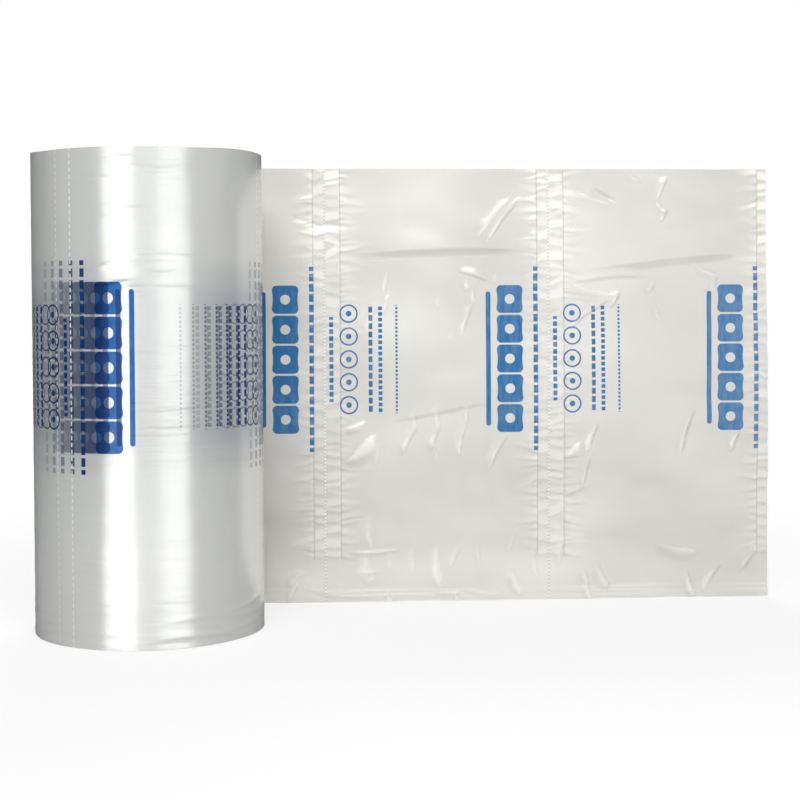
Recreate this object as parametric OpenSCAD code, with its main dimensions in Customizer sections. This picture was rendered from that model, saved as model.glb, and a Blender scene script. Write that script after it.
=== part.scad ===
// A roll of flat tube film for making air pillows, standing on its end, with a length pulled out.
// The film leaves the roll at its back and runs along +X. The roll's axis is the Z axis.

/* [Film] */
// Width of the film, which is the height of the standing roll
film_w = 400; // [380:5:600]
// Thickness of the flattened tube, drawn thicker than the real film so that it can be built
film_t = 0.8; // [0.6:0.1:1.2]
// Outer diameter of the wound roll
roll_d = 193; // [160:1:240]
// Length pulled off the roll, from where it leaves the roll to its torn end
tail_l = 564; // [520:2:760]

/* [Core] */
// Inner diameter of the paperboard core, which slides onto a spindle
core_bore_d = 76; // [50:1:80]
// Wall of the core
core_wall = 5; // [3:0.5:8]
// How far the core stands out of the film at each end
core_proud = 0; // [0:1:10]
// Gap between the core and the first turn of film
core_fit = 0.1; // [0.05:0.05:0.3]

/* [Pillow seals] */
// Length of one pillow, from one tear line to the next
pillow_pitch = 207; // [197:1:240]
// From a tear line to the seal on its left, seen from the front
seal_left = 10.5; // [6:0.5:16]
// From a tear line to the seal on its right
seal_right = 14.5; // [6:0.5:20]
// Width of a seal line
seal_line = 1.4; // [0.8:0.1:3]
// Depth to which a seal is pressed into each face
seal_depth = 0.15; // [0.1:0.05:0.2]
// Height of the open filling channel along the lower edge, where the seals stop
channel_h = 40; // [25:1:60]
// Length of one slit in a tear line
slit_l = 6; // [3:0.5:7]
// Width of a slit
slit_w = 0.7; // [0.4:0.1:1.2]
// Distance from one slit to the next
slit_pitch = 12; // [9:0.5:16]

/* [Gathers and creases] */
// Length of the short gathers across a pair of seals
gather_l = 46; // [30:1:60]
// Distance from one gather to the next
gather_pitch = 11; // [8:0.5:20]
// How much the gathers' lengths differ, as a share of the length
gather_uneven = 0.15; // [0:0.05:0.3]
// How far a gather leans from the level, in degrees
gather_lean = 7; // [0:1:12]
// Height of a gather at its middle, from the middle of the film
gather_r = 1; // [0.8:0.1:1.4]
// Height of a long crease at its middle, from the middle of the film
crease_r = 1.2; // [0.8:0.1:1.6]
// How many times as wide as high a gather or crease is
ridge_spread = 2; // [1:0.5:4]
// Distance from one upright crease in the filling channel to the next
pleat_pitch = 38; // [24:1:60]
// Height of such a crease, as a share of the channel's height
pleat_share = 0.8; // [0.5:0.05:0.9]
// Height of the two long folds above the lower edge
hem_heights = [5, 12]; // [3:1:20]

/* [Wound turns] */
// Step from one visible turn to the next on the roll's ends
turn_step = 3; // [2:0.5:6]
// Width of the gap between two visible turns
turn_gap = 0.6; // [0.4:0.1:1.2]
// Depth of that gap
turn_depth = 0.8; // [0.4:0.1:2]

/* [Print] */
// Height of the middle of the printed band above the lower edge
print_mid = 224; // [200:1:240]
// Height of the printed band
print_h = 168; // [150:2:180]
// Height kept free of gathers above and below the printed band
print_clear = 6; // [4:1:12]
// Thickness in which the ink is drawn
ink_t = 0.4; // [0.3:0.05:0.6]
// Distance from one printed label to the next round the roll
label_arc = 198; // [190:1:220]
// Angle of the first tear line on the roll, left of the front
label_turn = 33.8; // [20:0.1:50]
// Number of large blocks in a label
block_n = 5; // [3:1:5]
// Width of a block, along the film
block_w = 24; // [16:1:28]
// Height of a block
block_h = 22; // [14:1:24]
// Distance from one block to the next
block_pitch = 27.5; // [25:0.5:30]
// Diameter of the round window in a block
window_d = 9; // [5:0.5:12]
// Number of rings in a label
ring_n = 5; // [3:1:6]
// Outer diameter of a ring
ring_d = 17; // [12:0.5:19]
// Width of a ring's line
ring_line = 1.8; // [1:0.1:3]
// Distance from one ring to the next
ring_pitch = 21; // [20:0.5:24]
// Width of a line of dashes
dash_w = 4.5; // [2:0.5:5]
// Gap between two dashes of a line
dash_gap = 7; // [4:0.5:10]

/* [Hidden] */
$fn = 96;

roll_r = roll_d / 2;
core_r = core_bore_d / 2 + core_wall;
// Radius inside the first turn of film
bore_r = core_r + core_fit;
core_l = film_w + 2 * core_proud;
// The back face of the pulled length is tangent to the roll, and the film's middle lies half a thickness in
tail_back = roll_r;
tail_mid = roll_r - film_t / 2;
tail_front = roll_r - film_t;
// How far the turn below rises into the pulled length, so that the two meet along more than a line
nip = 0.06;
// What a cut reaches past a face
over = 1;

// Tear lines, from the torn end back to the roll
tear_lines = [for (x = tail_l; x > roll_r; x = x - pillow_pitch) x];

// Middle lines of a label's parts, along the film from its tear line, seen from the front
stripe_at = -57;
block_at = -36;
ring_at = 22;
stripe_w = 4;
stripe_h = 120;
tall_line_at = -12;
short_line_at = 6;
pair_line_at = 42;
whole_line_at = 51;
thin_line_at = 66;
short_line_h = 76;
side_line_h = 100;
// Lines of dashes: middle line, share of the usual width, height, and number of dashes
dash_lines = [
    [tall_line_at, 1, print_h, 3],
    [short_line_at, 1, short_line_h, 1],
    [pair_line_at, 1, side_line_h, 2],
    [whole_line_at, 1, side_line_h, 1],
    [thin_line_at, 0.5, side_line_h, 2]
];

// Long creases near the upper edge: number of the tear line and the place from it along the film,
// distance below the upper edge, length, and lean from the vertical
upper_creases = [
    [0, -120, 48, 40, 28],
    [0, -86, 58, 60, 62],
    [1, -50, 42, 62, -42],
    [1, -88, 48, 34, -40],
    [1, 52, 28, 44, 58],
    [2, -42, 48, 60, 78]
];
// Long creases below the print, with their height above the lower edge
lower_creases = [
    [0, -64, 96, 58, -20],
    [1, 44, 96, 54, -34],
    [1, -96, 98, 58, -12],
    [1, -122, 92, 60, -14],
    [2, 44, 96, 66, -38],
    [2, -82, 92, 66, -30]
];

// A number from -1 to 1 that changes from one copy to the next without a pattern
function uneven(i, seed) = sin(i * 137 + i * i * seed);

// Outline of a coil whose radius falls by one step in a turn: two half discs on two centres
module coil_disc(r, step) {
    union() {
        intersection() {
            circle(r);
            translate([-2 * r, -2 * r]) square([2 * r, 4 * r]);
        }
        intersection() {
            translate([0, -step / 2]) circle(r - step / 2);
            translate([0, -2 * r]) square([2 * r, 4 * r]);
        }
    }
}

// One turn of a band of width w, whose outer edge starts at radius r
module coil_band(r, step, w) {
    difference() {
        coil_disc(r, step);
        coil_disc(r - w, step);
    }
}

// The gaps between turns that show on an end of the roll
module turn_gaps() {
    first = roll_r - turn_step;
    last = bore_r + 1.5 * turn_step;
    for (r = [first : -turn_step : last])
        coil_band(r, turn_step, turn_gap);
}

// A long pointed ridge along Z that stands out of both faces of the film, highest in the middle
module ridge(h, l) {
    w = ridge_spread * h;
    polyhedron(
        [[-w, 0, 0], [0, -h, 0], [w, 0, 0], [0, h, 0], [0, 0, -l / 2], [0, 0, l / 2]],
        [[0, 1, 5], [1, 2, 5], [2, 3, 5], [3, 0, 5], [1, 0, 4], [2, 1, 4], [3, 2, 4], [0, 3, 4]]
    );
}

// A ridge laid in the pulled length, leaning from the vertical towards +X
module crease_at(x, z, l, lean, h) {
    translate([x, tail_mid, z]) rotate([0, lean, 0]) ridge(h, l);
}

function clear_of_print(z) = abs(z - print_mid) > print_h / 2 + print_clear;

// Short gathers that the hot seals pull into the film, above and below the print
module gathers() {
    middle = (seal_right - seal_left) / 2;
    for (x = tear_lines)
        for (i = [0 : floor((film_w - channel_h) / gather_pitch) - 1]) {
            z = channel_h + (i + 0.5) * gather_pitch;
            reach = gather_l * (1 - gather_uneven / 2 + gather_uneven / 2 * uneven(i, 7));
            at = min(x + middle + middle * uneven(i, 11), tail_l - reach / 2 - over);
            if (clear_of_print(z) && z < film_w - gather_pitch / 2)
                crease_at(at, z, reach, 90 + gather_lean * uneven(i, 5), gather_r);
        }
}

// Upright creases in the filling channel, from inside the roll's width to the torn end
module channel_pleats() {
    start = roll_r - pleat_pitch;
    for (i = [0 : floor((tail_l - start) / pleat_pitch) - 1])
        crease_at(start + (i + 0.5 + uneven(i, 3) / 5) * pleat_pitch, channel_h / 2,
            channel_h * (pleat_share + (1 - pleat_share) / 2 * uneven(i, 9)),
            gather_lean * uneven(i, 13), gather_r);
}

module long_creases() {
    for (c = upper_creases)
        if (c[0] < len(tear_lines))
            crease_at(tear_lines[c[0]] + c[1], film_w - c[2], c[3], c[4], crease_r);
    for (c = lower_creases)
        if (c[0] < len(tear_lines))
            crease_at(tear_lines[c[0]] + c[1], c[2], c[3], c[4], crease_r);
}

// Seals pressed into both faces, down to the filling channel
module seal_cuts() {
    for (x = tear_lines, at = [x - seal_left, x + seal_right])
        if (at < tail_l - seal_line)
            for (y = [tail_back - seal_depth, tail_front - over])
                translate([at - seal_line / 2, y, channel_h])
                    cube([seal_line, seal_depth + over, film_w]);
}

// Slits of the tear lines; those of the last line leave the torn end toothed
module slits() {
    for (x = tear_lines, z = [slit_pitch / 2 : slit_pitch : film_w - slit_l])
        translate([x - slit_w / 2, tail_front - over, z])
            cube([slit_w, film_t + 2 * over, slit_l]);
}

// Two long folds along the lower edge, as shallow grooves in both faces
module hem_folds() {
    start = roll_r / 2;
    for (z = hem_heights, y = [tail_back - seal_depth, tail_front - over])
        translate([start, y, z])
            cube([tail_l, seal_depth + over, seal_line]);
}

// The film: all the wound turns and the length pulled off them are one web
module film_web() {
    color([0.83, 0.85, 0.84])
    difference() {
        union() {
            linear_extrude(film_w)
                difference() {
                    union() {
                        coil_disc(roll_r, film_t - nip);
                        translate([0, tail_front]) square([tail_l, film_t]);
                    }
                    circle(bore_r);
                }
            gathers();
            channel_pleats();
            long_creases();
        }
        translate([0, 0, film_w - turn_depth])
            linear_extrude(turn_depth + over) turn_gaps();
        translate([0, 0, -over])
            linear_extrude(turn_depth + over) turn_gaps();
        seal_cuts();
        slits();
        hem_folds();
    }
}

// The paperboard tube that the film is wound on, cut square at both ends
module core() {
    color([0.66, 0.52, 0.36])
    translate([0, 0, -core_proud])
        difference() {
            cylinder(h = core_l, r = core_r);
            translate([0, 0, -over]) cylinder(h = core_l + 2 * over, d = core_bore_d);
        }
}

// Bars of a label: left, low, width and height, from the tear line and the lower edge
block_low = print_mid - ((block_n - 1) * block_pitch + block_h) / 2;
bars = concat(
    [[stripe_at - stripe_w / 2, print_mid - stripe_h / 2, stripe_w, stripe_h]],
    [for (d = dash_lines, i = [0 : d[3] - 1])
        let (w = dash_w * d[1], l = (d[2] - (d[3] - 1) * dash_gap) / d[3])
            [d[0] - w / 2, print_mid - d[2] / 2 + i * (l + dash_gap), w, l]]
);
blocks = [for (i = [0 : block_n - 1])
    [block_at - block_w / 2, block_low + i * block_pitch, block_w, block_h]];
ring_heights = [for (i = [0 : ring_n - 1]) print_mid + (i - (ring_n - 1) / 2) * ring_pitch];

// A label's bars, blocks and rings drawn flat, with the tear line at x = 0
module label_flat() {
    for (b = bars)
        translate([b[0], b[1]]) square([b[2], b[3]]);
    for (b = blocks)
        difference() {
            translate([b[0], b[1]]) square([b[2], b[3]]);
            translate([b[0] + b[2] / 2, b[1] + b[3] / 2]) circle(d = window_d);
        }
    for (z = ring_heights)
        translate([ring_at, z])
            difference() {
                circle(d = ring_d);
                circle(d = ring_d - 2 * ring_line);
            }
}

// Ink on both faces of the pulled length: it is printed on the back, and shows through
module ink_on_tail() {
    for (x = tear_lines, y = [tail_front, tail_back + ink_t])
        intersection() {
            translate([x, y, 0]) rotate([90, 0, 0])
                linear_extrude(ink_t) label_flat();
            cube([tail_l, 2 * roll_r, film_w]);
        }
}

// Degrees round the roll of a place in the label, whose length there is the roll's label distance
function turn_of(u) = u * label_arc / pillow_pitch * 180 / (PI * roll_r);

// The slice of a thin shell round the roll between two angles from the front, at most as far round
// as the back, where the film leaves the roll
module shell_slice(from, to) {
    far = 2 * roll_r;
    start = max(from, -180);
    if (to > start)
        intersection() {
            difference() {
                coil_disc(roll_r + ink_t, film_t - nip);
                coil_disc(roll_r, film_t - nip);
            }
            polygon([
                [0, 0],
                [far * sin(start), -far * cos(start)],
                [far * sin(to), -far * cos(to)]
            ]);
        }
}

// A round plug that runs from the roll's axis out through its surface
module plug(turn, z, d) {
    translate([0, 0, z]) rotate([0, 0, turn]) rotate([90, 0, 0])
        cylinder(d = d, h = 2 * roll_r);
}

// A label on the roll, seen from outside, so it runs the other way round from the tail's
module label_on_roll(turn) {
    for (b = bars)
        translate([0, 0, b[1]]) linear_extrude(b[3])
            shell_slice(turn - turn_of(b[0] + b[2]), turn - turn_of(b[0]));
    for (b = blocks)
        difference() {
            translate([0, 0, b[1]]) linear_extrude(b[3])
                shell_slice(turn - turn_of(b[0] + b[2]), turn - turn_of(b[0]));
            plug(turn - turn_of(b[0] + b[2] / 2), b[1] + b[3] / 2, window_d);
        }
    for (z = ring_heights)
        difference() {
            intersection() {
                translate([0, 0, z - ring_d]) linear_extrude(2 * ring_d)
                    shell_slice(turn - turn_of(ring_at + ring_d), turn - turn_of(ring_at - ring_d));
                plug(turn - turn_of(ring_at), z, ring_d);
            }
            plug(turn - turn_of(ring_at), z, ring_d - 2 * ring_line);
        }
}

// Ink on the roll's outer turn, where a label is printed on every pillow
module ink_on_roll() {
    step = turn_of(pillow_pitch);
    for (i = [-1 : 1])
        label_on_roll(i * step - label_turn);
}

// The blue print, in a node of its own because it has its own colour
module printed_marks() {
    color([0.05, 0.32, 0.60]) {
        ink_on_tail();
        ink_on_roll();
    }
}

film_web();
core();
printed_marks();
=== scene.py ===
import math

import bpy
import numpy as np
from mathutils import Matrix, Vector


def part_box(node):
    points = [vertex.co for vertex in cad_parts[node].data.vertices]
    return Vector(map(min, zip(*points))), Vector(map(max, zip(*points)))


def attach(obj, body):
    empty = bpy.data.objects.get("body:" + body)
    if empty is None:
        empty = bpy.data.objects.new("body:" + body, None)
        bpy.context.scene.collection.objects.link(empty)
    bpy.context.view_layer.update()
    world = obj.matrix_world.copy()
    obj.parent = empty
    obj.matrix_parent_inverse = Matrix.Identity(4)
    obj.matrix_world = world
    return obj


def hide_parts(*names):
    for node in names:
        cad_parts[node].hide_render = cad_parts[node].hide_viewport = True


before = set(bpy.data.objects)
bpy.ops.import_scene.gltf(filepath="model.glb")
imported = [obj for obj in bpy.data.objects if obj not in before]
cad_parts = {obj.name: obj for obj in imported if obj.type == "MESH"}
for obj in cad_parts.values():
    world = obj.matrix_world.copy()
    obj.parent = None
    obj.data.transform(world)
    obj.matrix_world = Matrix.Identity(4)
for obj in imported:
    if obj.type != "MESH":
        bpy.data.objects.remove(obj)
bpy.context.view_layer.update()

# Camera
# It stands a little to the right of the roll's middle and looks slightly further right, as the
# photograph's does. Its place and turn were solved from the roll's outline and the film's edges.
CAMERA_AT = (0.135, -1.297, 0.266)
CAMERA_YAW = math.radians(-3.46)
CAMERA_PITCH = math.radians(-1.76)
CAMERA_ROLL = math.radians(0.22)
LENS_MM = 68.18
SHIFT_UP = -0.05
camera_data = bpy.data.cameras.new("camera")
camera_data.lens = LENS_MM
camera_data.sensor_width = 36.0
camera_data.shift_y = SHIFT_UP
camera_data.clip_end = 30.0
camera = bpy.data.objects.new("camera", camera_data)
bpy.context.scene.collection.objects.link(camera)
turn = (Matrix.Rotation(CAMERA_YAW, 3, "Z") @ Matrix.Rotation(CAMERA_PITCH, 3, "X")
        @ Matrix.Rotation(CAMERA_ROLL, 3, "Y"))
right, ahead, up = turn @ Vector((1, 0, 0)), turn @ Vector((0, 1, 0)), turn @ Vector((0, 0, 1))
facing = Matrix((right, up, -ahead)).transposed().to_4x4()
camera.matrix_world = Matrix.Translation(CAMERA_AT) @ facing
bpy.context.scene.camera = camera

# Sizes of the roll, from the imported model
# The film is one web: its outer turn leaves the roll at the back and runs along +X to a torn end.
# The names below are in mm, and so are all the sizes in the sections that follow.
film_low, film_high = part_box("film_web")
core_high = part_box("core")[1]
MM = 0.001
WIDTH = film_high[2] / MM
RADIUS = -film_low[0] / MM
END_X = film_high[0] / MM
CORE_R = core_high[0] / MM
# The core's bore, and the two plies of film together
BORE_R = 38.0
FILM_T = 0.5

# Printed label
# A generic design printed on every pillow in one blue: a stripe, a column of blocks with round
# windows, a column of rings, and lines of dashes. Places are in mm from the nearest tear line.
LABEL_PITCH = 207.0
ROLL_PITCH = 198.0
LABEL_MID = 224.0
BLOCK_AT, BLOCK_W, BLOCK_H, BLOCK_PITCH, BLOCKS = -36.0, 24.0, 23.0, 27.5, 5
RING_AT, RING_R, RING_LINE, RING_PITCH, RINGS = 22.0, 8.5, 1.5, 21.0, 5
STRIPE_AT, STRIPE_W, STRIPE_H = -56.0, 4.4, 124.0
EDGE = 0.22
# On the roll the print of the turns below shows through, each turn further round and fainter, and so
# do the slits of their tear lines. The wound turns together shine a little like metal.
GHOST_STEP = 10.8
GHOSTS = [0.86, 0.64, 0.44, 0.27]
GHOST_INK = (0.040, 0.065, 0.140, 1.0)
SLIT_STEP = 15.9
WOUND_METAL = 0.42
# Lines of dashes: middle, width, height, length of a dash with its gap, share that is ink
DASHES = [
    (-12.0, 4.2, 170.0, 9.4, 0.74),
    (6.0, 3.8, 78.0, 6.4, 0.70),
    (42.0, 3.6, 100.0, 7.6, 0.72),
    (51.0, 3.6, 100.0, 5.2, 0.66),
    (66.0, 2.0, 100.0, 3.6, 0.62),
]


class Wire:
    """A shader socket that does sums, so that a mask can be written as a formula."""

    def __init__(self, tree, socket):
        self.tree = tree
        self.socket = socket

    def node(self, kind, settings=None, inputs=None, out=0):
        made = self.tree.nodes.new(kind)
        for name, value in (settings or {}).items():
            if name == "stops":
                ramp = made.color_ramp
                while len(ramp.elements) < len(value):
                    ramp.elements.new(0.5)
                for element, (place, colour) in zip(ramp.elements, value):
                    element.position = place
                    element.color = (*colour, 1.0)
            else:
                setattr(made, name, value)
        for key, value in (inputs or {}).items():
            if isinstance(value, Wire):
                self.tree.links.new(value.socket, made.inputs[key])
            else:
                made.inputs[key].default_value = value
        return Wire(self.tree, made.outputs[out])

    def math(self, operation, *values):
        return self.node("ShaderNodeMath", {"operation": operation}, dict(enumerate(values)))

    def __add__(self, other):
        return self.math("ADD", self, other)

    def __sub__(self, other):
        return self.math("SUBTRACT", self, other)

    def __rsub__(self, other):
        return self.math("SUBTRACT", other, self)

    def __mul__(self, other):
        return self.math("MULTIPLY", self, other)

    def __abs__(self):
        return self.math("ABSOLUTE", self)

    def at_most(self, other):
        return self.math("MINIMUM", self, other)

    def at_least(self, other):
        return self.math("MAXIMUM", self, other)

    def wrapped(self, pitch):
        """This value brought to within half a pitch of nought."""
        return self.math("WRAP", self, pitch / 2, -pitch / 2)

    def inside(self, edge, blur):
        """1 where this value is below the edge and 0 above it, with a soft step between."""
        return self.node("ShaderNodeMapRange", {"interpolation_type": "SMOOTHSTEP"},
                         {"Value": self, "From Min": edge - blur, "From Max": edge + blur,
                          "To Min": 1.0, "To Max": 0.0})

    def noise(self, scale, detail, rough):
        return self.node("ShaderNodeTexNoise", {}, {"Vector": self, "Scale": scale,
                                                    "Detail": detail, "Roughness": rough})

    def stretched(self, x, y, z):
        """This place with its axes scaled, which draws a noise out along the smaller ones."""
        return self.node("ShaderNodeVectorMath", {"operation": "MULTIPLY"}, {0: self, 1: (x, y, z)})

    def mixed(self, other, share):
        """This colour, with the other laid over it by a share."""
        return self.node("ShaderNodeMix", {"data_type": "RGBA"}, {0: share, 6: self, 7: other}, out=2)

    def ramp(self, *stops):
        """A colour for each value, from places and colours in order."""
        return self.node("ShaderNodeValToRGB", {"stops": stops}, {"Fac": self})

    def axes(self):
        """X, Y and Z of this place, in mm."""
        split = self.node("ShaderNodeSeparateXYZ", {}, {"Vector": self}).socket.node
        return [Wire(self.tree, socket) * 1000.0 for socket in split.outputs]


def rounded_box(across, along, half_w, half_h, corner):
    """Distance outside a box with rounded corners, from wires to its middle."""
    out_x = (abs(across) - (half_w - corner)).at_least(0.0)
    out_z = (abs(along) - (half_h - corner)).at_least(0.0)
    return (out_x * out_x + out_z * out_z).math("SQRT", out_x * out_x + out_z * out_z) - corner


def label_mask(across, height, fine=True):
    """Ink of one label, from wires to the place across it and the height, in mm."""
    up_mid = height - LABEL_MID
    block_up = up_mid.wrapped(BLOCK_PITCH)
    block_x = across - BLOCK_AT
    pinch = abs(block_up) * abs(block_up) * 0.012
    block = rounded_box(block_x, block_up, BLOCK_W / 2, BLOCK_H / 2, 4.0)
    window = (block_x * block_x + block_up * block_up)
    window = window.math("SQRT", window)
    blocks = (block - pinch + 0.6).inside(0.0, EDGE) * (4.5 - window).inside(0.0, EDGE)
    blocks = blocks * abs(up_mid).inside(BLOCKS * BLOCK_PITCH / 2, 0.01)
    ring_up = up_mid.wrapped(RING_PITCH)
    ring_x = across - RING_AT
    away = ring_x * ring_x + ring_up * ring_up
    away = away.math("SQRT", away)
    rings = abs(away - (RING_R - RING_LINE / 2)).inside(RING_LINE / 2, EDGE)
    if fine:
        rings = rings.at_least(away.inside(2.6, EDGE))
    rings = rings * abs(up_mid).inside(RINGS * RING_PITCH / 2, 0.01)
    ink = blocks.at_least(rings)
    stripe = rounded_box(across - STRIPE_AT, up_mid, STRIPE_W / 2, STRIPE_H / 2, STRIPE_W / 2)
    ink = ink.at_least(stripe.inside(0.0, EDGE))
    for middle, width, tall, step, share in DASHES:
        dash = abs(up_mid.wrapped(step)).inside(step * share / 2, EDGE)
        line = abs(across - middle).inside(width / 2, EDGE) * abs(up_mid).inside(tall / 2, EDGE)
        ink = ink.at_least(line * dash)
    return ink


# Pulled length of film
# A flattened tube of two plies of silvery white film, drawn off the roll's back and torn off at a
# tear line. It is made as one panel for each pillow, cut at the tear lines, so each joins the next.
TEAR_LINES = [END_X, END_X - LABEL_PITCH, END_X - 2 * LABEL_PITCH]
# The tear line before these lies on the roll, this far round from where the film leaves it
ROLL_TEAR = -(ROLL_PITCH - TEAR_LINES[2])
SEAL_LEFT, SEAL_RIGHT = 10.5, 14.5
CHANNEL = 40.0
CELL_X, CELL_Z = 1.6, 1.14

# Creases: start x and z, end x and z, height towards the viewer, width to the left and to the right
# of that way, width of the facet beside it that gets a painted highlight, and how strongly that
# highlight is painted
CREASES = [
    (333, 373, 297, 331, 1.6, 2.6, 10, 3.0, 0.95), (326, 375, 289, 336, 1.2, 4.0, 8, 4.0, 0.60),
    (345, 325, 170, 323, 2.6, 8.0, 30, 0.0, 0.00), (345, 316, 172, 315, 0.2, 1.5, 3, 1.2, 0.50),
    (303, 295, 273, 307, 1.4, 2.6, 7, 2.2, 0.85), (282, 299, 281, 288, 1.0, 2.4, 6, 3.5, 0.80),
    (288, 293, 287, 273, 1.3, 2.4, 6, 2.4, 0.85), (287, 275, 274, 243, 1.4, 2.4, 7, 3.2, 0.85),
    (268, 249, 264, 241, 0.6, 2.4, 4, 2.0, 0.50), (209, 306, 204, 284, 1.3, 2.4, 6, 3.0, 0.85),
    (210, 283, 204, 267, 1.1, 2.4, 5, 2.2, 0.70), (198, 275, 188, 247, 1.3, 3.0, 9, 6.0, 0.60),
    (255, 285, 254, 272, 0.7, 2.6, 5, 3.0, 0.35), (308, 304, 307, 295, 0.8, 2.4, 5, 3.0, 0.45),
    (430, 399, 444, 387, 0.9, 3.0, 7, 2.0, 0.45), (398, 382, 421, 369, -1.2, 3.0, 7, 0.0, 0.00),
    (386, 377, 418, 366, 1.0, 3.0, 7, 2.4, 0.55), (470, 392, 459, 371, 1.3, 2.6, 8, 3.0, 0.65),
    (460, 367, 468, 359, 1.2, 2.4, 6, 2.2, 0.90), (468, 360, 463, 351, 1.2, 2.4, 6, 2.4, 0.85),
    (377, 293, 421, 281, 1.5, 4.0, 12, 5.0, 0.50), (424, 285, 416, 272, 1.3, 2.4, 7, 2.6, 0.90),
    (412, 277, 394, 266, 1.2, 2.4, 7, 2.6, 0.80), (395, 267, 376, 252, 1.2, 2.4, 7, 3.0, 0.70),
    (456, 292, 450, 285, 0.8, 2.6, 5, 3.0, 0.50), (456, 275, 462, 257, 0.7, 3.0, 6, 2.0, 0.35),
    (493, 311, 518, 298, 1.2, 2.4, 8, 2.0, 0.70), (514, 299, 511, 283, 0.8, 3.0, 6, 3.0, 0.30),
    (556, 322, 377, 306, 2.2, 8.0, 26, 0.0, 0.00), (454, 299, 377, 297, 1.2, 3.5, 8, 0.0, 0.00),
    (165, 127, 198, 155, 2.0, 4.0, 13, 12.0, 0.90), (166, 159, 188, 166, 1.2, 3.0, 6, 5.0, 0.80),
    (232, 176, 233, 158, 1.3, 2.4, 7, 2.6, 0.70), (233, 160, 220, 137, 1.5, 2.4, 8, 4.5, 0.90),
    (254, 181, 254, 157, 1.2, 2.4, 7, 2.6, 0.70), (254, 160, 247, 141, 1.4, 2.4, 7, 4.5, 0.90),
    (257, 147, 251, 128, 0.7, 3.0, 5, 2.0, 0.40), (283, 181, 279, 163, 1.1, 2.4, 6, 2.2, 0.70),
    (280, 165, 272, 134, 1.3, 2.4, 7, 3.2, 0.80), (319, 154, 299, 121, 1.4, 2.2, 8, 2.4, 0.90),
    (201, 147, 196, 127, 0.7, 3.0, 6, 2.0, 0.40), (204, 164, 308, 182, -1.0, 4.0, 7, 0.0, 0.00),
    (403, 165, 391, 136, 1.7, 2.6, 9, 6.0, 0.85), (397, 137, 387, 102, 1.0, 2.6, 6, 2.0, 0.45),
    (370, 132, 387, 145, 1.5, 3.0, 9, 6.5, 0.75), (494, 177, 478, 131, 1.7, 3.0, 9, 3.2, 0.55),
    (537, 157, 527, 137, 1.5, 2.4, 8, 4.2, 0.85), (254, 55, 254, 11, 1.2, 3.0, 7, 8.0, 0.70),
    (190, 79, 191, 48, 0.9, 3.0, 7, 5.0, 0.40), (189, 46, 189, 16, 1.2, 3.0, 12, 15.0, 0.45),
    (209, 46, 210, 28, 0.9, 2.6, 5, 3.0, 0.50), (231, 50, 230, 26, 1.0, 2.4, 5, 2.6, 0.55),
    (275, 51, 264, 31, 0.9, 2.6, 6, 4.0, 0.50), (292, 58, 291, 34, 0.8, 2.4, 5, 2.0, 0.50),
    (322, 30, 331, 4, 1.5, 2.6, 9, 7.0, 0.80), (327, 66, 319, 44, 0.7, 3.0, 6, 2.0, 0.35),
    (162, 48, 220, 47, 0.9, 2.0, 5, 1.6, 0.55), (180, 28, 199, 28, 0.6, 2.0, 4, 1.4, 0.70),
    (125, 20, 115, 1, 1.4, 2.6, 8, 5.0, 0.75), (130, 27, 114, 16, 1.0, 3.0, 8, 4.0, 0.50),
    (208, 10, 209, -2, 1.2, 2.0, 5, 3.5, 0.90), (270, 8, 273, -1, 1.1, 2.0, 5, 3.5, 0.80),
    (344, 49, 345, 20, 1.0, 2.6, 6, 3.0, 0.50), (370, 52, 366, 33, 1.0, 2.6, 6, 3.0, 0.50),
    (402, 32, 413, 9, 1.4, 3.0, 10, 8.0, 0.50), (388, 30, 394, 13, 1.0, 3.0, 7, 5.0, 0.35),
    (392, 16, 396, -1, 1.5, 2.4, 7, 6.0, 0.90), (487, 24, 493, 0, 1.6, 2.4, 9, 6.5, 0.85),
    (518, 30, 501, 5, 1.3, 2.6, 9, 9.0, 0.45), (455, 52, 498, 41, 1.0, 5.0, 12, 8.0, 0.35),
    (550, 40, 537, 25, 1.1, 2.6, 7, 4.0, 0.50), (116, 17, 214, 8, 0.7, 1.8, 4, 1.3, 0.60),
    (132, 12, 212, 4, 0.6, 1.8, 4, 1.2, 0.50), (251, 8, 275, 8, 0.7, 1.8, 4, 1.8, 0.70),
    (275, 12, 313, 4, 0.6, 1.8, 4, 1.2, 0.50), (60, 128, 34, 84, 1.0, 3.0, 9, 3.0, 0.40),
    (60, 340, 40, 300, 1.0, 3.0, 9, 3.0, 0.40), (60, 60, 52, 12, 1.2, 3.0, 8, 3.0, 0.40),
    (84, 44, 82, 14, 0.9, 3.0, 6, 3.0, 0.40), (118, 356, 172, 344, -0.9, 4.0, 7, 0.0, 0.00),
]


def smooth_field(x, z, size, seed):
    """Soft random hills about 1 high and one size across, the same on each run."""
    draws = np.random.RandomState(seed)
    total = np.zeros_like(x)
    for _ in range(9):
        lean = draws.uniform(0, math.tau)
        step = size * draws.uniform(0.7, 1.6)
        phase = draws.uniform(0, math.tau)
        total += np.sin((x * math.cos(lean) + z * math.sin(lean)) * math.tau / step + phase)
    return total / 3.0


def eased(t):
    """0 below 0 and 1 above 1, with a smooth rise between."""
    t = np.clip(t, 0, 1)
    return t * t * (3 - 2 * t)


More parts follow.
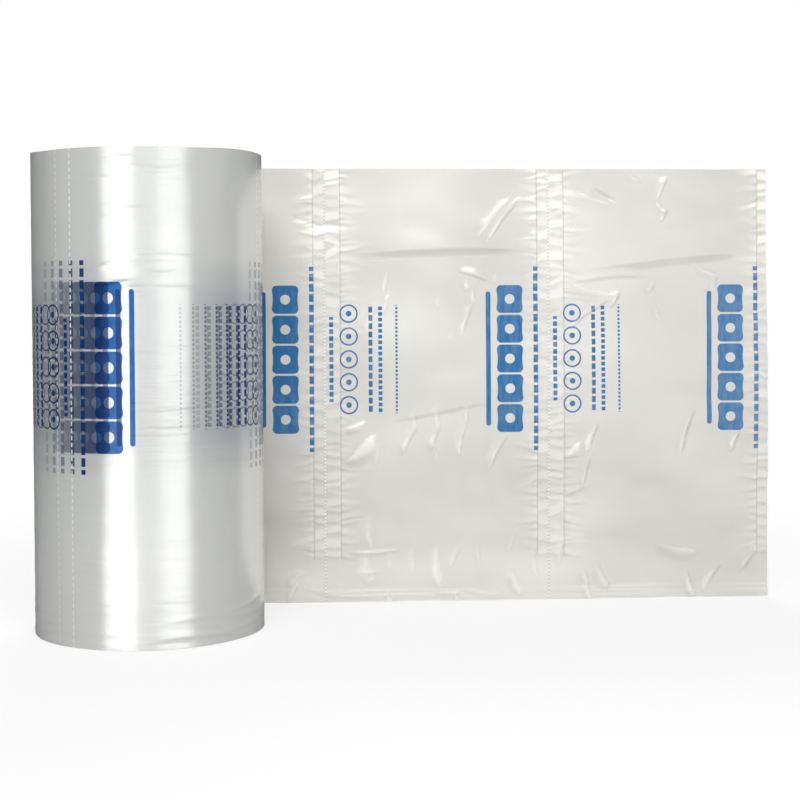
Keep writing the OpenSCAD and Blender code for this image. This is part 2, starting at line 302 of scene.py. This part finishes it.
def crease_field(x, z):
    """Height of all the long creases at each place, and how strongly a highlight is painted there."""
    total = np.zeros_like(x)
    gleam = np.zeros_like(x)
    for x0, z0, x1, z1, tall, left, right, facet, shine in CREASES:
        run = math.hypot(x1 - x0, z1 - z0)
        ux, uz = (x1 - x0) / run, (z1 - z0) / run
        along = (x - x0) * ux + (z - z0) * uz
        across = -(x - x0) * uz + (z - z0) * ux
        bend = 0.035 if run < 100 else 0.012
        across = across + bend * run * np.sin(along / run * math.pi * 1.3)
        ends = eased(np.minimum(along + 4, run + 4 - along) / (0.35 * run + 4))
        wide = np.where(across > 0, left, right) * (0.4 + 0.6 * ends)
        side = np.clip(1 - np.abs(across) / wide, 0, 1)
        total += 1.5 * tall * ends * side ** 1.2
        if facet:
            share = np.clip(along / run, 0, 1)
            swell = np.minimum(share / 0.72, (1 - share) / 0.28) ** 0.85
            ragged = across + 0.22 * np.sin(along / 2.3 + x0)
            ragged = ragged + 0.035 * facet * np.sin(along / 1.1 + z0)
            inside = eased((0.35 * facet * swell - ragged) / 0.9 + 0.5)
            inside = inside * eased((ragged + 0.75 * facet * swell) / (0.45 * facet + 0.8) + 0.25)
            gleam = np.maximum(gleam, shine * inside * (0.55 + 0.45 * share) * eased(swell * 2.2))
    return total, gleam


def gather_field(x, z, line, seed):
    """Puckers that a pair of seals pulls into the film: level ridges, steep below and long above."""
    draws = np.random.RandomState(seed)
    total = np.zeros_like(x)
    gleam = np.zeros_like(x)
    upper = 0.45 + 0.65 * eased((z - 250) / 110)
    sides = [(line - SEAL_LEFT, -1, 24.0, 1.0, 1.0), (line + SEAL_RIGHT, 1, 27.0, 1.1, 1.0),
             (line - 5.0, 0, 6.5, 0.6, 1.5), (line + 7.0, 0, 8.5, 0.6, 1.4)]
    for start, way, reach, strength, apart in sides:
        level = CHANNEL + 2
        while level < WIDTH - 2:
            tall = strength * draws.uniform(0.25, 1.0) ** 1.2 * 1.15
            steep = draws.uniform(1.2, 2.4)
            slow = draws.uniform(3.0, 8.0)
            shine = draws.uniform(0.25, 0.95)
            long = reach * draws.uniform(0.35, 1.2)
            slope = draws.normal(0, 0.16)
            swing = draws.uniform(-1, 1)
            out = (x - start) * way if way else np.abs(x - start)
            if way:
                fade = np.clip(1 - np.maximum(out, 0) / long, 0, 1) ** 1.3 * np.clip(1 + out, 0, 1)
            else:
                fade = np.clip(1.1 - (out / reach) ** 4, 0, 1)
            off = z - level - slope * (x - start) - 1.3 * swing * np.sin((x - start) / 7)
            side = np.clip(1 - np.abs(off) / np.where(off < 0, steep, slow), 0, 1)
            total += tall * fade * side ** 1.3
            gap = draws.uniform(3.5, 10.0) * apart
            # Painted highlight: a bright cell above each ridge, stronger towards the top of the film.
            ragged = off + 0.35 * np.sin((x - start) * 1.7 + level)
            cell = eased((ragged - 0.5) / 0.9) * eased((0.85 * gap - ragged) / (0.35 * gap))
            gleam = np.maximum(gleam, shine * upper * fade * cell)
            level += gap
    return total * (0.65 + 0.35 * upper), gleam


# The hanging film leans a little up or down: how many degrees at each height
LEAN_AT = [0, 40, 80, 120, 160, 200, 280, 340, 400]
LEAN = [2, 2, -1, -2, 0, 1.5, 2.5, 2.5, 2]
LEAN_LEVELS = np.linspace(0.0, 400.0, 101)
# The three weld lines along the lower edge: height, length of their sway and how far they stand out
HEMS = [(11.0, 61, 0.30), (7.6, 47, 0.26), (4.6, 83, 0.30)]


def film_relief(x, z):
    """How far the film's middle stands towards the viewer from its plane, in mm, and the highlights
    painted on it.
    """
    hold = np.clip(x / 75.0, 0, 1) ** 2
    relief = 0.9 * smooth_field(x, z, 150.0, 3) + 0.35 * smooth_field(x, z * 1.6, 60.0, 5)
    relief += 0.10 * smooth_field(x, z, 24.0, 8) + 0.02 * smooth_field(x, z, 11.0, 9)
    tilts = np.interp(LEAN_LEVELS, LEAN_AT, LEAN)
    lean = -np.cumsum(np.radians(tilts)) * (LEAN_LEVELS[1] - LEAN_LEVELS[0])
    relief += np.interp(z, LEAN_LEVELS, lean - lean.mean())
    folds, gleam = crease_field(x, z)
    puckers = np.zeros_like(x)
    for k, line in enumerate(TEAR_LINES + [ROLL_TEAR]):
        near = np.abs(x - line) < 60
        part, part_painted_highlight = gather_field(x[near], z[near], line, 20 + k)
        puckers[near] += part
        gleam[near] = np.maximum(gleam[near], part_painted_highlight)
        stop = 1 / (1 + np.exp(-(z - CHANNEL) / 1.2))
        for seal in (line - SEAL_LEFT, line + SEAL_RIGHT):
            puckers -= 0.55 * np.exp(-((x - seal) / 1.1) ** 2) * stop
    for height, sway, tall in HEMS:
        hem = tall * np.exp(-((z - height - 0.9 * np.sin(x / sway)) / 0.95) ** 2)
        hem = hem * (0.6 + 0.4 * np.sin(x / 29))
        puckers += hem
        # The weld lines get a painted highlight along them as well.
        gleam = np.maximum(gleam, 1.3 * hem)
    pressed = np.clip(-0.1 * np.abs(puckers), -0.25, 0.0)
    return (relief + folds + puckers) * hold + pressed * (1 - hold), gleam * (0.3 + 0.7 * hold)


def torn_edge(z, seed):
    """Small teeth that tearing along the slits leaves, in mm."""
    teeth = 0.5 * np.abs(((z + seed) / 5.5) % 1.0 - 0.5)
    return teeth + 0.25 * np.sin(z / 23.0) + 0.15 * np.sin(z / 7.1) + 1.8 * z / WIDTH


def new_material(name):
    """A new principled material, its shader node, and a wire on the object's place in metres."""
    material = bpy.data.materials.new(name)
    material.use_nodes = True
    tree = material.node_tree
    shader = tree.nodes["Principled BSDF"]
    place = tree.nodes.new("ShaderNodeTexCoord")
    return material, shader, Wire(tree, place.outputs["Object"])


def plug(wire, shader, name):
    """Feeds the wire into the shader's input of that name."""
    wire.tree.links.new(wire.socket, shader.inputs[name])


def film_material(name, pitch, back):
    """Silvery white film with the label on it, seen through the film or from its printed side."""
    material, shader, place = new_material(name)
    x, y, z = place.axes()
    if pitch == ROLL_PITCH:
        angle = (x * -1.0).math("ARCTAN2", (x * -1.0).at_least(0.0), y)
        x = x.at_least(0.0) - angle * RADIUS
    line_at = TEAR_LINES[0] if pitch == LABEL_PITCH else TEAR_LINES[2]
    across = (x - line_at).wrapped(pitch)
    ink = label_mask(across, z)
    # This attribute holds the highlights painted on crease facets, pucker cells and weld lines.
    gleam = place.node("ShaderNodeAttribute", {"attribute_name": "gleam"}, {}, out=2)
    near_seal = abs(across - 2.0).inside(22.0, 10.0) * (CHANNEL - z).inside(0.0, 4.0)
    wear = place.stretched(1.0, 1.0, 0.25).noise(260.0, 3.0, 0.6)
    slits = abs(across).inside(0.65, 0.3) * abs(z.wrapped(3.4)).inside(1.0, 0.4)
    tear = slits * (wear + 0.15).at_most(1.0)
    seals = abs(abs(across - 2.0) - 12.5).inside(0.55, 0.35) * (CHANNEL - z).inside(0.0, 1.0)
    patches = place.stretched(1.0, 1.0, 1.6).noise(9.0, 1.5, 0.45)
    cells = place.stretched(0.7, 1.0, 1.0).noise(110.0, 1.0, 0.5)
    puckers = place.stretched(0.25, 1.0, 1.0).noise(170.0, 1.5, 0.5)
    # The film's tone is random patches with painted light and shade on top. It is painted lighter in a
    # dome near the top of each pillow and in the channel at the foot, and painted darker round 110 mm
    # high and towards the torn end. Near the seals it is mottled with the noise of the pucker bumps, as
    # painted light and shade on the puckers.
    beside = (x - (line_at + 60.0)).wrapped(pitch)
    painted_light_dome = beside * beside * 0.00012 + (z - 330.0) * (z - 330.0) * 0.00006
    tone_and_painted_light = patches * 0.8 + abs(z - 110.0).inside(20.0, 90.0) * -0.08 + 0.13
    tone_and_painted_light = tone_and_painted_light + (cells - 0.5) * near_seal * 0.5
    tone_and_painted_light = tone_and_painted_light + painted_light_dome.inside(0.5, 0.5) * 0.12 + z.inside(42.0, 16.0) * 0.14
    tone_and_painted_light = tone_and_painted_light - (x - 290.0).at_least(0.0) * 0.0008
    film = tone_and_painted_light.ramp((0.28, (0.555, 0.545, 0.518)), (0.52, (0.605, 0.594, 0.566)),
                      (0.78, (0.700, 0.684, 0.645)))
    # Painted highlight: pale cream laid over the film by the painted highlight attribute.
    film = film.mixed((0.86, 0.838, 0.780, 1.0), gleam.at_most(0.9) * 0.9)
    film = film.mixed((0.36, 0.355, 0.34, 1.0), seals * 0.55)
    film = film.mixed((0.36, 0.35, 0.335, 1.0), abs(across).inside(0.9, 0.5) * 0.40)
    film = film.mixed((0.92, 0.91, 0.87, 1.0), tear * 0.95)
    blue = (0.0, 0.088, 0.285, 1.0) if back else (0.0, 0.122, 0.318, 1.0)
    # The ink is painted paler under the painted highlight, and a little paler towards the torn end.
    strength = (wear * 0.30 + patches * 0.20 + 0.76 - gleam * 0.35 - x * 0.0002).at_most(0.98)
    if pitch == ROLL_PITCH and back:
        wound = (x + 8.0).inside(0.0, 8.0)
        plug(wound * WOUND_METAL, shader, "Metallic")
        film = film.mixed((0.70, 0.71, 0.69, 1.0), wound)
        for turn_below in range(len(GHOSTS), 0, -1):
            older = label_mask(across - turn_below * GHOST_STEP, z, fine=False)
            film = film.mixed(GHOST_INK, older * wound * GHOSTS[turn_below - 1])
        strength = strength.at_least(wound * 0.93)
    plug(film.mixed(blue, ink * strength), shader, "Base Color")
    plug(patches * 0.12 + seals * 0.12 + 0.18, shader, "Roughness")
    bumps = cells * 0.35 + (puckers * 1.4 + cells) * near_seal
    bump = place.node("ShaderNodeBump", {}, {"Strength": 0.30, "Distance": 0.0007, "Height": bumps})
    plug(bump, shader, "Normal")
    shader.inputs["Specular IOR Level"].default_value = 0.35
    shader.inputs["Coat Weight"].default_value = 0.0 if back else 0.15
    shader.inputs["Coat Roughness"].default_value = 0.10
    return material


def web_place(q, relief):
    """Where a point of the web's middle lies: on the plane past the roll, or round its back."""
    depth = RADIUS - FILM_T / 2 - relief
    turned = np.minimum(q, 0) / RADIUS
    return np.where(q > 0, q, depth * np.sin(turned)), np.where(q > 0, depth, depth * np.cos(turned))


def make_panel(name, start, stop, pitch, torn):
    """One pillow's length of film, from a tear line to the next, as a closed thin tube laid flat."""
    columns = round((stop - start) / CELL_X)
    rows = round(WIDTH / CELL_Z)
    bpy.ops.object.select_all(action="DESELECT")
    bpy.ops.mesh.primitive_grid_add(x_subdivisions=columns, y_subdivisions=rows, size=2.0)
    panel = bpy.context.object
    panel.name = name
    mesh = panel.data
    flat = np.empty(len(mesh.vertices) * 3)
    mesh.vertices.foreach_get("co", flat)
    flat = flat.reshape(-1, 3)
    q = start + (flat[:, 0] + 1) / 2 * (stop - start)
    z = (flat[:, 1] + 1) / 2 * WIDTH
    relief, gleam = film_relief(q, z)
    mesh.attributes.new("gleam", "FLOAT", "POINT").data.foreach_set("value", gleam)
    if torn:
        q = q - torn_edge(z, 1.0) * np.clip((q - stop + 6) / 6, 0, 1)
    x, y = web_place(q, relief)
    wave = 0.35 * np.sin(q / 31.0) + 0.25 * np.sin(q / 12.7 + 1) + 0.15 * np.sin(q / 4.9)
    top = np.clip((z - WIDTH + 12) / 12, 0, 1) * np.minimum(0.25 * wave - 0.8, 0)
    foot = np.clip((12 - z) / 12, 0, 1) * np.maximum(0.1 + wave, 0)
    mesh.vertices.foreach_set("co", (np.stack([x, y, z + top + foot], axis=1) * MM).ravel())
    mesh.update()
    if np.mean([face.normal.y for face in mesh.polygons]) > 0:
        mesh.flip_normals()
    mesh.materials.append(film_material(name + "_seen_through", pitch, False))
    mesh.materials.append(film_material(name + "_printed_side", pitch, True))
    solid = panel.modifiers.new("plies", "SOLIDIFY")
    solid.thickness = FILM_T * MM
    solid.offset = 0.0
    solid.use_even_offset = False
    solid.material_offset = 1
    solid.material_offset_rim = 1
    bpy.ops.object.modifier_apply(modifier="plies")
    bpy.ops.object.shade_smooth_by_angle(angle=math.radians(50))
    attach(panel, "root")
    return panel


end_pillow = make_panel("pillow_at_torn_end", TEAR_LINES[1], TEAR_LINES[0], LABEL_PITCH, True)
middle_pillow = make_panel("pillow_in_middle", TEAR_LINES[2], TEAR_LINES[1], LABEL_PITCH, False)
near_pillow = make_panel("pillow_leaving_roll", ROLL_TEAR, TEAR_LINES[2], ROLL_PITCH, False)
for pillow, length in (
        (end_pillow, LABEL_PITCH), (middle_pillow, LABEL_PITCH), (near_pillow, ROLL_PITCH)):
    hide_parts("film_web", "printed_marks")

# Wound roll
# Hundreds of turns of the same film on the core, one solid here. Its side shows the outer turn with
# the print of the turns below as fainter copies, and its ends show the edges of the turns.
TURNS_SHOWN = 1.6
ROLL_COLUMNS = 208
SIDE_ROWS = 300
END_RINGS = 60


def side_relief(angle, z):
    """How far the roll's side stands out from round, in mm, from the angle from the front and height."""
    flutes = (0.10 * np.sin(5 * angle + 0.6) + 0.07 * np.sin(9 * angle + 2.0 + 0.3 * np.sin(z / 130))
              + 0.045 * np.sin(17 * angle + 1.0 + 0.9 * np.sin(z / 60))
              + 0.024 * np.sin(31 * angle + 4.0 + 1.1 * np.sin(z / 37)))
    arc = angle * RADIUS
    band = np.exp(-((z - 204) / 34) ** 2)
    sway = 0.9 * np.sin(arc / 21) + 0.6 * np.sin(arc / 9 + z / 15)
    ripple = 0.075 * band * np.sin(z * math.tau / 6.4 + sway)
    draws = np.random.RandomState(41)
    fold = np.zeros_like(z)
    for bottom, top, most in [(281, 318, 0.50)] * 14 + [(318, 396, 0.20)] * 12:
        low = draws.uniform(bottom, top)
        tall = most * draws.uniform(0.4, 1.0)
        mid, long = draws.uniform(-40, 36), draws.uniform(9, 30)
        thick, bow = draws.uniform(0.9, 2.2), draws.uniform(-3, 5)
        off = (arc - mid) / long
        fold += tall * np.exp(-off ** 4) * np.exp(-((z - low + bow * np.cos(off * 1.6)) / thick) ** 2)
    foot = np.zeros_like(z)
    for low, slope, tall in ((6, 0.05, 0.30), (12, -0.06, 0.26), (18, 0.10, 0.24), (24, -0.03, 0.16)):
        shift = low + slope * arc + 1.4 * np.sin(arc / 17 + low)
        foot += tall * np.exp(-((z - shift) / 2.1) ** 2) * (0.5 + 0.5 * np.sin(arc / 37 + low))
    small = 0.07 * smooth_field(arc * 0.6, z * 1.3, 34.0, 31)
    small = small + 0.03 * smooth_field(arc * 0.4, z * 1.6, 16.0, 33)
    return flutes + ripple + fold + foot * np.clip(z / 3, 0, 1) + small


def end_relief(r, angle, seed):
    """How far the edges of the turns stand out of the roll's end, in mm."""
    draws = np.random.RandomState(seed)
    coil = r - TURNS_SHOWN * angle / math.tau
    relief = 0.10 * np.sin(coil * math.tau / TURNS_SHOWN)
    for _ in range(26):
        place = draws.uniform(CORE_R + 1, RADIUS - 1)
        tall = draws.normal(0, 0.28)
        thick = draws.uniform(0.3, 1.6)
        relief = relief + tall * np.exp(-((coil - place) / thick) ** 2)
    dish = 0.5 * np.sin((r - CORE_R) / (RADIUS - CORE_R) * math.pi)
    return relief + dish * np.cos(angle + seed)


bpy.ops.object.select_all(action="DESELECT")
half = WIDTH / 2 * MM
bpy.ops.mesh.primitive_cylinder_add(vertices=ROLL_COLUMNS, radius=RADIUS * MM, depth=WIDTH * MM,
                                    location=(0, 0, half), end_fill_type="NOTHING")
wound_roll = bpy.context.object
wound_roll.name = "wound_roll"
bpy.ops.object.transform_apply(location=True, rotation=True, scale=True)
inner = CORE_R + 0.1


def ring_of(mesh_edges, verts, height):
    return [e for e in mesh_edges if all(abs(verts[v].co.z - height) < 1e-5 for v in e.vertices)]


# The two ends are drawn in from the side in narrow rings, down to the core, and joined through it.
mesh = wound_roll.data
for height in (0.0, WIDTH * MM):
    bpy.ops.object.mode_set(mode="EDIT")
    bpy.ops.mesh.select_mode(type="EDGE")
    bpy.ops.mesh.select_all(action="DESELECT")
    bpy.ops.object.mode_set(mode="OBJECT")
    for edge in ring_of(mesh.edges, mesh.vertices, height):
        edge.select = True
    bpy.ops.object.mode_set(mode="EDIT")
    now = RADIUS
    for ring in range(END_RINGS):
        then = RADIUS + (inner - RADIUS) * (ring + 1) / END_RINGS
        bpy.ops.mesh.extrude_edges_move()
        share = then / now
        bpy.ops.transform.resize(value=(share, share, 1.0), center_override=(0, 0, height))
        now = then
    bpy.ops.object.mode_set(mode="OBJECT")
bpy.ops.object.mode_set(mode="EDIT")
bpy.ops.mesh.select_all(action="DESELECT")
bpy.ops.object.mode_set(mode="OBJECT")
for edge in mesh.edges:
    spots = [mesh.vertices[v].co for v in edge.vertices]
    edge.select = all(abs(math.hypot(c.x, c.y) / MM - inner) < 0.01 for c in spots) and (
        abs(spots[0].z - spots[1].z) < 1e-6)
bpy.ops.object.mode_set(mode="EDIT")
bpy.ops.mesh.bridge_edge_loops()
bpy.ops.mesh.select_all(action="DESELECT")
bpy.ops.object.mode_set(mode="OBJECT")
for edge in mesh.edges:
    spots = [mesh.vertices[v].co for v in edge.vertices]
    edge.select = abs(spots[0].z - spots[1].z) > 0.1 and all(
        abs(math.hypot(c.x, c.y) / MM - RADIUS) < 0.01 for c in spots)
bpy.ops.object.mode_set(mode="EDIT")
bpy.ops.mesh.subdivide_edgering(number_cuts=SIDE_ROWS - 1, interpolation="LINEAR")
bpy.ops.mesh.select_all(action="SELECT")
bpy.ops.mesh.remove_doubles(threshold=1e-6)
bpy.ops.mesh.normals_make_consistent(inside=False)
bpy.ops.object.mode_set(mode="OBJECT")

mesh = wound_roll.data
spots = np.empty(len(mesh.vertices) * 3)
mesh.vertices.foreach_get("co", spots)
spots = spots.reshape(-1, 3) / MM
r = np.hypot(spots[:, 0], spots[:, 1])
angle = np.arctan2(spots[:, 0], -spots[:, 1])
z = spots[:, 2]
# The outer turn starts at the tear line on the roll's back, and the side is one film lower past it.
tear_angle = -math.pi - ROLL_TEAR / RADIUS
wound = ((angle - tear_angle) % math.tau) / math.tau
out = np.clip((r - (RADIUS - 6)) / 6, 0, 1)
lowered = -FILM_T * wound - 0.04
under_film = np.clip(1.0 - (wound - 0.80) / 0.05, 0, 1)
r_new = r + out * (lowered + side_relief(angle, z) * under_film)
end_part = np.clip((RADIUS - r) / 2.0, 0, 1) * np.clip((r - inner) / 2.0, 0, 1)
# The outer turns sit a little lower at the front, where the foot of the film is crumpled
degrees = np.degrees(angle)
dip = 2.3 * eased((degrees + 80) / 30) * eased((60 - degrees) / 45) * eased((r - 60) / 36)
z_new = z * (1 - dip / WIDTH)
z_new = np.where(z > WIDTH - 0.01, z_new - 0.6 * end_part + end_relief(r, angle, 2) * end_part, z_new)
z_new = np.where(z < 0.01, 0.3 * end_part - np.clip(end_relief(r, angle, 7), -1, 0.25) * end_part, z_new)
spots[:, 0], spots[:, 1] = np.sin(angle) * r_new, -np.cos(angle) * r_new
spots[:, 2] = np.clip(z_new, 0.0, WIDTH)
mesh.vertices.foreach_set("co", (spots * MM).ravel())
mesh.update()


def roll_side_material():
    """The outer turn: glossier than a single film, with the print of older turns showing through."""
    material, shader, place = new_material("film_wound")
    x, y, z = place.axes()
    arc = x.math("ARCTAN2", x, y * -1.0) * RADIUS
    first_line = tear_angle * RADIUS
    across = (first_line - arc).wrapped(ROLL_PITCH) * (LABEL_PITCH / ROLL_PITCH)
    ink = label_mask(across, z)
    off_mid = abs(z - LABEL_MID)
    band = off_mid.inside(82.0, 9.0) * 0.45 + off_mid.inside(62.0, 10.0) * 0.55
    soft = place.stretched(1.0, 1.0, 0.12).noise(14.0, 2.0, 0.5)
    patches = place.stretched(1.0, 1.0, 0.6).noise(24.0, 3.0, 0.55)
    wear = place.stretched(1.0, 1.0, 0.3).noise(240.0, 3.0, 0.6)
    ripples = place.stretched(0.10, 0.10, 1.0).noise(300.0, 1.5, 0.45)
    film = soft.ramp((0.30, (0.640, 0.655, 0.640)), (0.55, (0.700, 0.710, 0.690)),
                     (0.75, (0.750, 0.755, 0.730)))
    # Painted light: the lower part of the roll is painted lighter.
    film = film.mixed((0.84, 0.845, 0.83, 1.0), z.inside(110.0, 60.0) * 0.6)
    printed = abs(across - 30.0).inside(66.0, 34.0)
    film = film.mixed((0.16, 0.20, 0.29, 1.0), band * (printed * 0.30 + 0.08))
    cover = printed * 0.6
    for turn_below in range(len(GHOSTS), 0, -1):
        shift = turn_below * GHOST_STEP
        below = (first_line - arc - shift).wrapped(ROLL_PITCH) * (LABEL_PITCH / ROLL_PITCH)
        older = label_mask(below, z, fine=False)
        film = film.mixed(GHOST_INK, older * GHOSTS[turn_below - 1])
        cover = cover.at_least(older * GHOSTS[turn_below - 1])
    for turn_below in (0, 1):
        away = abs((first_line - arc - turn_below * SLIT_STEP).wrapped(ROLL_PITCH)).inside(0.55, 0.25)
        slit = away * abs((z + turn_below * 2.0).wrapped(5.6)).inside(1.7, 0.4)
        film = film.mixed((1.0, 1.0, 0.98, 1.0), slit * (0.95 - 0.25 * turn_below))
    strength = (wear * 0.20 + patches * 0.15 + 0.80).at_most(0.99)
    blue = cover.ramp((0.0, (0.0, 0.095, 0.320)), (1.0, (0.0, 0.018, 0.105)))
    plug(film.mixed(blue, ink * strength), shader, "Base Color")
    plug(soft * 0.04 + 0.21, shader, "Roughness")
    in_band = abs(z - 204.0).inside(48.0, 26.0)
    bumps = ripples * (in_band * 1.6 + 0.35) + patches * 0.12
    bump = place.node("ShaderNodeBump", {}, {"Strength": 0.40, "Distance": 0.0008, "Height": bumps})
    plug(bump, shader, "Normal")
    shader.inputs["Specular IOR Level"].default_value = 0.3
    shader.inputs["Metallic"].default_value = WOUND_METAL
    return material


def roll_end_material():
    """The cut edges of the turns: matt grey-white film with fine rings and darker gaps."""
    material, shader, place = new_material("film_edges")
    x, y = place.axes()[:2]
    away = x * x + y * y
    away = away.math("SQRT", away)
    turned = x.math("ARCTAN2", x, y * -1.0)
    coil = away - turned * (TURNS_SHOWN / math.tau)
    at = coil.node("ShaderNodeCombineXYZ", {}, {"X": coil * 0.001, "Y": turned * 0.0006})
    rings = at.noise(1400.0, 4.0, 0.65)
    broad = at.noise(160.0, 2.0, 0.5)
    streaks = place.noise(45.0, 3.0, 0.6)
    tone = rings * 0.55 + broad * 0.35 + streaks * 0.2
    colour = tone.ramp((0.36, (0.24, 0.26, 0.26)), (0.52, (0.44, 0.46, 0.455)),
                       (0.66, (0.64, 0.65, 0.635)))
    plug(colour, shader, "Base Color")
    plug(rings * 0.2 + 0.32, shader, "Roughness")
    bump = place.node("ShaderNodeBump", {}, {"Strength": 0.6, "Distance": 0.0008,
                                             "Height": rings + broad})
    plug(bump, shader, "Normal")
    return material


mesh.materials.append(roll_side_material())
mesh.materials.append(roll_end_material())
for face in mesh.polygons:
    middle = face.center
    if abs(face.normal.z) > 0.6 or math.hypot(middle.x, middle.y) / MM < RADIUS - 2.0:
        face.material_index = 1
bpy.ops.object.shade_smooth_by_angle(angle=math.radians(40))
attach(wound_roll, "root")
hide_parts("film_web", "printed_marks")

# Core
# A spiral-wound paperboard tube that the film is wound on, cut square at both ends. The seams of
# its plies run up its bore as a spiral, and its cut ends show the plies.
CORE_COLUMNS = 128
PLIES = 7


def core_material():
    """Grey-brown paperboard with ply seams in the bore and ply lines on the cut ends."""
    material, shader, place = new_material("paperboard")
    x, y, z = place.axes()
    away = x * x + y * y
    away = away.math("SQRT", away)
    turned = x.math("ARCTAN2", x, y)
    lead = 96.0
    seam = abs((z + turned * (lead / math.tau)).wrapped(lead)).inside(0.35, 0.25)
    inner_wall = away.inside(BORE_R + 0.6, 0.2)
    ply = abs((away - BORE_R).wrapped((CORE_R - BORE_R) / PLIES)).inside(0.10, 0.08)
    fibre = place.noise(700.0, 4.0, 0.65)
    mottle = place.noise(60.0, 3.0, 0.6)
    tone = fibre * 0.55 + mottle * 0.45
    colour = tone.ramp((0.34, (0.25, 0.165, 0.095)), (0.52, (0.37, 0.255, 0.155)),
                       (0.68, (0.47, 0.34, 0.215)))
    lines = (seam * inner_wall).at_least(ply * (1.0 - inner_wall))
    colour = colour.mixed((0.12, 0.075, 0.045, 1.0), lines * 0.7)
    plug(colour, shader, "Base Color")
    plug(fibre * 0.15 + 0.72, shader, "Roughness")
    relief = fibre * 0.5 - seam * inner_wall * 1.5 - ply * (1.0 - inner_wall)
    bump = place.node("ShaderNodeBump", {}, {"Strength": 0.5, "Distance": 0.0004, "Height": relief})
    plug(bump, shader, "Normal")
    shader.inputs["Specular IOR Level"].default_value = 0.25
    return material


bpy.ops.object.select_all(action="DESELECT")
bpy.ops.mesh.primitive_cylinder_add(vertices=CORE_COLUMNS, radius=CORE_R * MM, depth=WIDTH * MM,
                                    location=(0, 0, half), end_fill_type="NOTHING")
core_tube = bpy.context.object
core_tube.name = "core_tube"
bpy.ops.object.transform_apply(location=True, rotation=True, scale=True)
wall = core_tube.modifiers.new("wall", "SOLIDIFY")
wall.thickness = (CORE_R - BORE_R) * MM
wall.offset = -1.0
bpy.ops.object.modifier_apply(modifier="wall")
rounding = core_tube.modifiers.new("cut edges", "BEVEL")
rounding.width = 0.5 * MM
rounding.segments = 2
rounding.limit_method = "ANGLE"
rounding.angle_limit = math.radians(50)
bpy.ops.object.modifier_apply(modifier="cut edges")
core_tube.data.materials.append(core_material())
bpy.ops.object.shade_smooth_by_angle(angle=math.radians(35))
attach(core_tube, "root")
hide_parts("core")

# Studio
# A white floor and surround, two upright soft boxes beyond the sides of the camera and a wide one
# behind it that draw the bright bands on the roll, one box overhead and one behind the film.
scene = bpy.context.scene
scene.view_settings.view_transform = "Standard"

bpy.ops.object.select_all(action="DESELECT")
bpy.ops.mesh.primitive_plane_add(size=24.0, location=(0.2, 0.1, -0.0005))
floor = bpy.context.object
floor.name = "floor"
floor_material, floor_shader, floor_place = new_material("white_floor")
floor_shader.inputs["Base Color"].default_value = (0.86, 0.86, 0.86, 1.0)
floor_shader.inputs["Roughness"].default_value = 0.9
floor_shader.inputs["Specular IOR Level"].default_value = 0.1
tree = floor_material.node_tree
glow = tree.nodes.new("ShaderNodeEmission")
glow.inputs["Strength"].default_value = 1.0
clear = tree.nodes.new("ShaderNodeBsdfTransparent")
rays = tree.nodes.new("ShaderNodeLightPath")
reach = floor_place.node("ShaderNodeVectorMath", {"operation": "LENGTH"}, {0: floor_place}, out=1)
fading = floor_place.node("ShaderNodeMapRange", {"interpolation_type": "SMOOTHSTEP"},
                          {"Value": reach, "From Min": 0.15, "From Max": 0.95,
                           "To Min": 0.70, "To Max": 1.0})
blend = tree.nodes.new("ShaderNodeMixShader")
seen = Wire(tree, rays.outputs["Is Camera Ray"]) * fading
tree.links.new(seen.socket, blend.inputs[0])
tree.links.new(floor_shader.outputs[0], blend.inputs[1])
tree.links.new(glow.outputs[0], blend.inputs[2])
mirrored = tree.nodes.new("ShaderNodeMixShader")
tree.links.new(rays.outputs["Is Glossy Ray"], mirrored.inputs[0])
tree.links.new(blend.outputs[0], mirrored.inputs[1])
tree.links.new(clear.outputs[0], mirrored.inputs[2])
tree.links.new(mirrored.outputs[0], tree.nodes["Material Output"].inputs["Surface"])
floor.data.materials.append(floor_material)

world = bpy.data.worlds.new("studio")
world.use_nodes = True
scene.world = world
tree = world.node_tree
ambient = tree.nodes["Background"]
ambient.inputs["Strength"].default_value = 0.15
white = tree.nodes.new("ShaderNodeBackground")
white.inputs["Strength"].default_value = 1.0
white.inputs["Color"].default_value = (1.0, 1.0, 1.0, 1.0)
ambient.inputs["Color"].default_value = (0.96, 0.98, 1.0, 1.0)
rays = tree.nodes.new("ShaderNodeLightPath")
mix = tree.nodes.new("ShaderNodeMixShader")
tree.links.new(rays.outputs["Is Camera Ray"], mix.inputs[0])
tree.links.new(ambient.outputs[0], mix.inputs[1])
tree.links.new(white.outputs[0], mix.inputs[2])
tree.links.new(mix.outputs[0], tree.nodes["World Output"].inputs["Surface"])


def soft_box(name, at, aim, size, power, tint=(1.0, 1.0, 1.0)):
    """A rectangular lamp that faces the aim point."""
    lamp = bpy.data.lights.new(name, "AREA")
    lamp.shape = "RECTANGLE"
    lamp.size, lamp.size_y = size
    lamp.energy = power
    lamp.color = tint
    box = bpy.data.objects.new(name, lamp)
    scene.collection.objects.link(box)
    box.location = at
    box.rotation_euler = (Vector(aim) - Vector(at)).to_track_quat("-Z", "Y").to_euler()
    box.visible_camera = False
    return box


soft_box("left_box", (-0.80, -1.80, 0.10), (0.0, 0.0, 0.10), (1.00, 1.25), 7.0, (1.0, 0.985, 0.95))
soft_box("right_box", (1.07, -1.80, 0.10), (0.05, 0.0, 0.10), (1.00, 1.25), 5.6)
soft_box("middle_box", (-0.22, -2.10, 0.10), (0.0, 0.0, 0.10), (1.80, 1.40), 5.0)
soft_box("top_box", (0.2, -1.5, 1.7), (0.20, 0.05, 0.2), (1.6, 0.6), 40.0)
soft_box("back_box", (0.25, 1.7, 1.9), (0.25, 0.0, 0.2), (1.2, 0.8), 34.0)
